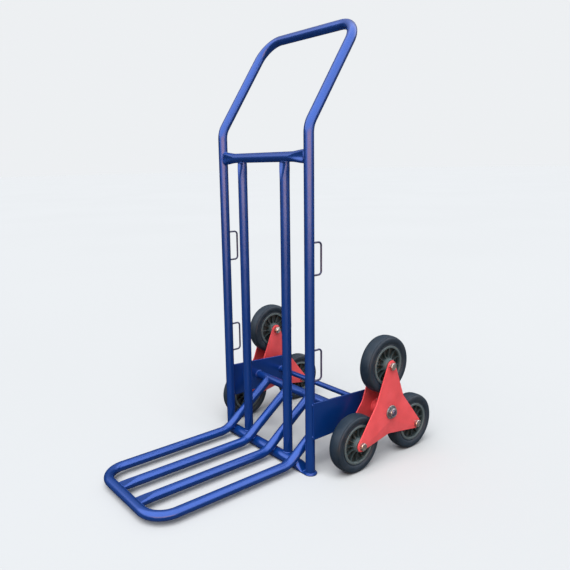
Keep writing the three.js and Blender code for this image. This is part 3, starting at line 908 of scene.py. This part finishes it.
def star_plate_skin(face_x, inward):
    """One plate, its outer face at face_x and its thickness towards inward, creases pressed inward."""
    outline = star_outline()
    count = len(outline)
    start = math.atan2(outline[0][0].y, outline[0][0].x)
    turns = [start + 2 * math.pi * k / count for k in range(count)]
    hub = [Vector((math.cos(a), math.sin(a))) * (HUB_BUSH_R + 0.0004) for a in turns]

    def sheet(depth, back, share):
        ring = []
        for k, (edge, out) in enumerate(outline):
            p = hub[k].lerp(edge - out * back, share)
            ring.append((face_x + inward * (depth + star_relief(*p)), p.x, p.y))
        return ring

    shares = [k / STAR_RINGS for k in range(STAR_RINGS + 1)]
    top = [sheet(0, STAR_EDGE, s) for s in shares]
    rim = [sheet(STAR_EDGE * 0.4, STAR_EDGE * 0.3, 1), sheet(STAR_EDGE, 0, 1)]
    rim += [sheet(STAR_T - STAR_EDGE, 0, 1), sheet(STAR_T - STAR_EDGE * 0.4, STAR_EDGE * 0.3, 1)]
    bottom = [sheet(STAR_T, STAR_EDGE, s) for s in reversed(shares)]
    return Skin().rings(top + rim + bottom, closed=True)


def drilled(mesh, centres, radius):
    """Drills holes along X through a mesh with a boolean cut."""
    target = bpy.data.objects.new("target", mesh)
    bpy.context.scene.collection.objects.link(target)
    drill_skin = Skin()
    for y, z in centres:
        rings = [[(x, y + a, z + b) for a, b in circle(radius, 40)] for x in (-1, 1)]
        drill_skin.rings(rings)
    drill = bpy.data.objects.new("drill", drill_skin.mesh("drill", 40))
    bpy.context.scene.collection.objects.link(drill)
    cut = target.modifiers.new("cut", "BOOLEAN")
    cut.operation, cut.solver, cut.object = "DIFFERENCE", "EXACT", drill
    graph = bpy.context.evaluated_depsgraph_get()
    made = bpy.data.meshes.new_from_object(target.evaluated_get(graph))
    bpy.data.objects.remove(target)
    bpy.data.objects.remove(drill)
    made.shade_smooth()
    made.set_sharp_from_angle(angle=math.radians(32))
    return made


def star_plates():
    tips = [(ARM_R * math.cos(a), ARM_R * math.sin(a)) for a in ARM_ANGLES.values()]
    kinds = {"outer": (OUTER_PLATE_X, -1), "inner": (INNER_PLATE_X, 1)}
    for kind, (face_x, inward) in kinds.items():
        mesh = drilled(star_plate_skin(face_x, inward).mesh(kind, 32), tips, BOLT_R + CLEARANCE)
        for name, side in SIDES.items():
            node = f"star_plate_{kind}_{name}"
            add_piece(node, mesh.copy(), "star_paint", f"star_{name}", side_place(side, AXLE))


def star_hubs():
    """The sleeve between a star's plates, with a weld at each end, and the bush inside it."""
    inside, outside = INNER_PLATE_X + STAR_T, OUTER_PLATE_X - STAR_T
    proud = 0.0004
    for name, side in SIDES.items():
        place = side_place(side, AXLE)
        skin = lathe(ring_profile(inside, outside, HUB_BUSH_R + CLEARANCE, HUB_SLEEVE_R))
        for x in (inside + proud, outside - proud):
            bead(skin, hoop((x, 0, 0), (1, 0, 0), HUB_SLEEVE_R + proud), THIN_WELD_R)
        mesh = skin.mesh(f"hub_sleeve_{name}", 40)
        add_piece(f"hub_sleeve_{name}", mesh, "star_paint", f"star_{name}", place)
        profile = ring_profile(INNER_PLATE_X, OUTER_PLATE_X, AXLE_R + 0.0005, HUB_BUSH_R)
        mesh = lathe(profile).mesh(f"hub_bush_{name}", 35)
        add_piece(f"hub_bush_{name}", mesh, "bush_nylon", f"star_{name}", place)


def wheel_fasteners():
    """The bolt, nut and distance bush of each wheel; every hexagon stands at its own angle."""
    bolt_low, head_high = (corner.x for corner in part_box("wheel_bolt_right_top"))
    head_low = OUTER_PLATE_X + CLEARANCE
    nut_low, nut_high = (corner.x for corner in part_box("wheel_nut_right_top"))
    bush_low, bush_high, bush_radius = x_span("wheel_bush_right_top")
    bore = BOLT_R + CLEARANCE
    thread = [(-x, r) for x, r in reversed(threaded(-nut_high, -bolt_low, BOLT_R))]
    shank = thread + [(head_low + 0.001, BOLT_R)]
    for name, side in SIDES.items():
        for i, place_name in enumerate(PLACES):
            tag, body = f"{name}_{place_name}", f"star_{name}"
            centre = middle(f"tyre_{tag}")
            turn = math.radians(17 + 23 * i + 8 * side)
            skin = Skin().rings(hexagon_rings(BOLT_FLATS, head_low, head_high, chamfer_low=False))
            lathe(shank, 48, False, skin)
            mesh = skin.mesh(f"wheel_bolt_{tag}", 25)
            add_piece(f"wheel_bolt_{tag}", mesh, "zinc", body, side_place(side, centre, turn))
            mesh = nut_skin(BOLT_FLATS, bore, nut_low, nut_high).mesh(f"wheel_nut_{tag}", 25)
            add_piece(f"wheel_nut_{tag}", mesh, "zinc", body, side_place(side, centre, turn + 0.3))
            mesh = lathe(ring_profile(bush_low, bush_high, bore, bush_radius)).mesh(f"wheel_bush_{tag}", 35)
            add_piece(f"wheel_bush_{tag}", mesh, "bush_steel", body, side_place(side, centre))


# ---------- wheels ----------
def tyre_profile():
    """Half of the section as (x, radius), from the bead over the shoulder to the middle of the tread."""
    bead_r = RIM_R + TYRE_GAP
    bead_side = [(0.0140, bead_r), (0.0158, bead_r + 0.0004)]
    bead_side += [(0.0162, bead_r + 0.0016), (0.0156, bead_r + 0.0032)]
    sidewall = [(0.0166, 0.0583), (0.0180, 0.0612), (0.0187, 0.0645), (0.0189, 0.0680), (0.0186, 0.0712)]
    shoulder = [(0.0179, 0.0736), (0.0168, 0.0752), (0.0161, 0.0757)]
    line = [(0.0157, 0.0747), (0.0148, 0.0748), (0.0144, 0.0762)]
    tread = [(0.0125, 0.0771), (0.0095, 0.0777), (0.0055, 0.0781)]
    tread += [(0.0010, WHEEL_R - 0.00005), (0.0004, WHEEL_R)]
    return bead_side + sidewall + shoulder + line + tread


def both_sides(half):
    """A wheel's section from its outer half."""
    return [(WHEEL_X + x, r) for x, r in half] + [(WHEEL_X - x, r) for x, r in reversed(half)]


def rim_skin():
    """A moulded rim: ring, thin web and hub, with ribs on both faces."""
    web, bore = 0.0040, 0.0100
    half = [(web, 0.0210), (web, 0.0455), (0.0150, 0.0466), (0.0166, 0.0470), (RIM_HALF, 0.0476)]
    half += [(RIM_HALF, 0.0522), (0.0165, RIM_R)]
    hub = [(-0.0225, 0.0178), (-0.0230, 0.0172), (-0.0230, bore + 0.0005), (-0.0225, bore)]
    hub_right = [(-x, r) for x, r in reversed(hub)]
    skin = lathe(both_sides(half) + [(WHEEL_X + x, r) for x, r in hub + hub_right], WHEEL_SIDES)
    for k in range(RIBS):
        rib(skin, 2 * math.pi * k / RIBS)
    return skin


def rib(skin, angle):
    """One radial rib through the web, from the hub to the ring, thinner at its two free edges."""
    root, free = 0.0011, 0.0006
    heights = {0.0172: 0.0165, 0.0280: 0.0125, 0.0400: 0.0122, 0.0474: 0.0148}  # by radius
    turn = Matrix.Rotation(angle, 3, "X")
    centre = Vector((WHEEL_X, 0, 0))
    rings = []
    for radius, height in heights.items():
        half = [(0, root), (height, free), (height, -free)]
        corners = half + [(-x, -across) for x, across in half]
        rings.append([turn @ Vector((x, across, radius)) + centre for x, across in corners])
    skin.rings(rings)


def wheels():
    """Six tyres and rims, each wheel turned to an angle of its own."""
    tyre_mesh = lathe(both_sides(tyre_profile()), WHEEL_SIDES).mesh("tyre", 28)
    rim_mesh = rim_skin().mesh("rim", 28)
    for name, side in SIDES.items():
        for i, place_name in enumerate(PLACES):
            tag = f"{name}_{place_name}"
            centre = middle(f"tyre_{tag}")
            place = side_place(side, centre, math.radians(8 + 37 * i + 11 * side))
            add_piece(f"tyre_{tag}", tyre_mesh.copy(), "tyre_rubber", f"wheel_{tag}", place)
            add_piece(f"rim_{tag}", rim_mesh.copy(), "rim_plastic", f"wheel_{tag}", place)


# ---------- camera, floor and light ----------
CAMERA_AT = (1.25348, -0.95895, 0.80519)
CAMERA_TURN = (51.87, 11.24, -1.13)  # azimuth, elevation and roll, degrees
CAMERA_LENS = 37.81
CAMERA_SHIFT = (0.0363, -0.0041)

FLOOR_HALF = 60  # far enough for its edge never to show

SUN_FROM = (0.33, -0.42, 1)
SUN_ANGLE = 60  # degrees across, so that its shadows are soft
SUN_ENERGY = 5.3
SUN_COLOUR = (0.96, 0.98, 1.0)

BACKDROP = (0.85, 0.87, 0.89, 1)
ROOM_STRENGTH = 16.0
ROOM_RISE = (0.28, -0.20, 1)  # the reflected room brightens upwards, from lower down on the right
ROOM_SIDE = (0.8, -0.5, 0)  # and darkens towards the left and back
WARM_SIDE = (0.84, -0.54, 0)  # a warm wall stands on this side


def camera():
    azimuth, elevation, roll = (math.radians(a) for a in CAMERA_TURN)
    right = Vector((math.cos(azimuth), math.sin(azimuth), 0))
    level = Vector((math.sin(azimuth), -math.cos(azimuth), 0))
    back = level * math.cos(elevation) + Vector((0, 0, math.sin(elevation)))
    up = back.cross(right)
    right, up = (right * math.cos(roll) + up * math.sin(roll), up * math.cos(roll) - right * math.sin(roll))
    data = bpy.data.cameras.new("camera")
    data.sensor_width = 36
    data.lens = CAMERA_LENS
    data.shift_x, data.shift_y = CAMERA_SHIFT
    cam = bpy.data.objects.new("camera", data)
    bpy.context.scene.collection.objects.link(cam)
    turn = Matrix((right, up, back)).transposed().to_4x4()
    cam.matrix_world = Matrix.Translation(CAMERA_AT) @ turn
    bpy.context.scene.camera = cam


def floor():
    skin = Skin()
    skin.points = [Vector((x, y, 0)) * FLOOR_HALF for x, y in ((-1, -1), (1, -1), (1, 1), (-1, 1))]
    skin.faces = [(0, 1, 2, 3)]
    plane = bpy.data.objects.new("floor", skin.mesh("floor", 40))
    bpy.context.scene.collection.objects.link(plane)
    look = Look("floor", Roughness=1.0, Specular_IOR_Level=0.0)
    look.colour(look.noise(0.6, 1), (0.3, (0.423, 0.421, 0.415)), (0.7, (0.429, 0.427, 0.421)))
    plane.data.materials.append(look.material)
    plane.visible_glossy = False


def sky():
    """Soft light from above, a plain pale backdrop, and the bright room that only reflections see."""
    world = bpy.data.worlds.new("studio")
    bpy.context.scene.world = world
    world.use_nodes = True
    world.cycles.sampling_method = "NONE"
    nodes, links = world.node_tree.nodes, world.node_tree.links
    direction = nodes.new("ShaderNodeTexCoord").outputs["Generated"]
    path = nodes.new("ShaderNodeLightPath").outputs

    def graded(axis, *stops):
        """Colours laid out by how far a direction points along an axis, from -1 to 1."""
        along = nodes.new("ShaderNodeVectorMath")
        along.operation = "DOT_PRODUCT"
        links.new(direction, along.inputs[0])
        along.inputs[1].default_value = axis
        share = nodes.new("ShaderNodeMapRange")
        share.inputs["From Min"].default_value = -1
        links.new(along.outputs["Value"], share.inputs["Value"])
        ramp = ramp_node(nodes, [((reach + 1) / 2, colour) for reach, colour in stops])
        links.new(share.outputs["Result"], ramp.inputs["Fac"])
        return ramp.outputs["Color"]

    def times(one, other):
        product = nodes.new("ShaderNodeVectorMath")
        product.operation = "MULTIPLY"
        links.new(one, product.inputs[0])
        links.new(other, product.inputs[1])
        return product.outputs["Vector"]

    def background(colour, strength=1.0):
        node = nodes.new("ShaderNodeBackground")
        node.inputs["Strength"].default_value = strength
        if isinstance(colour, tuple):
            node.inputs["Color"].default_value = colour
        else:
            links.new(colour, node.inputs["Color"])
        return node.outputs["Background"]

    def either(choice, no, yes):
        mix = nodes.new("ShaderNodeMixShader")
        links.new(choice, mix.inputs["Fac"])
        links.new(no, mix.inputs[1])
        links.new(yes, mix.inputs[2])
        return mix.outputs["Shader"]

    def grey(value):
        return (value,) * 3

    up = (0, 0, 1)
    lit = graded(up, (0.0, (0.15, 0.14, 0.18)), (0.3, (0.22, 0.24, 0.30)), (1.0, (0.85, 0.92, 1.0)))
    dim, cool, neutral = (0.10, 0.10, 0.11), (0.27, 0.26, 0.275), (0.22, 0.19, 0.20)
    low_warm, warm = (0.72, 0.38, 0.17), (0.84, 0.28, 0.09)
    plain = graded(up, (-0.15, dim), (0.05, neutral), (0.24, cool))
    warmed = graded(up, (-0.15, dim), (-0.07, low_warm), (0.04, warm), (0.24, cool))
    above = graded(ROOM_RISE, (-0.05, grey(0.12)), (0.14, grey(0.2)), (0.25, grey(1.0)))
    bright_side = graded(ROOM_SIDE, (-0.75, grey(0.15)), (-0.50, grey(0.25)), (-0.22, grey(1.0)))
    brightness = times(above, bright_side)
    walls = [background(times(tint, brightness), ROOM_STRENGTH) for tint in (plain, warmed)]
    room = either(graded(WARM_SIDE, (0.60, grey(0)), (0.90, grey(1))), *walls)
    seen = either(path["Is Glossy Ray"], background(lit), room)
    seen = either(path["Is Camera Ray"], seen, background(BACKDROP))
    links.new(seen, nodes["World Output"].inputs["Surface"])


def lights():
    """One broad, soft sun that lights the object and isn't itself reflected, with the sky."""
    bpy.context.scene.view_settings.view_transform = "Standard"
    sky()
    overhead = bpy.data.lights.new("overhead", "SUN")
    overhead.angle = math.radians(SUN_ANGLE)
    overhead.energy = SUN_ENERGY
    overhead.color = SUN_COLOUR
    above = bpy.data.objects.new("overhead", overhead)
    bpy.context.scene.collection.objects.link(above)
    above.rotation_euler = Vector(SUN_FROM).to_track_quat("Z", "Y").to_euler()
    above.visible_glossy = False


for build in (
    camera, floor, lights,
    main_frame_tube, upper_crossbar, lower_crossbar, back_slats, platform_loop_tube, platform_bars,
    rear_cross_tube, strap_loops, side_plates, frame_welds,
    axle_parts, star_plates, star_hubs, wheel_fasteners, wheels,
):
    build()
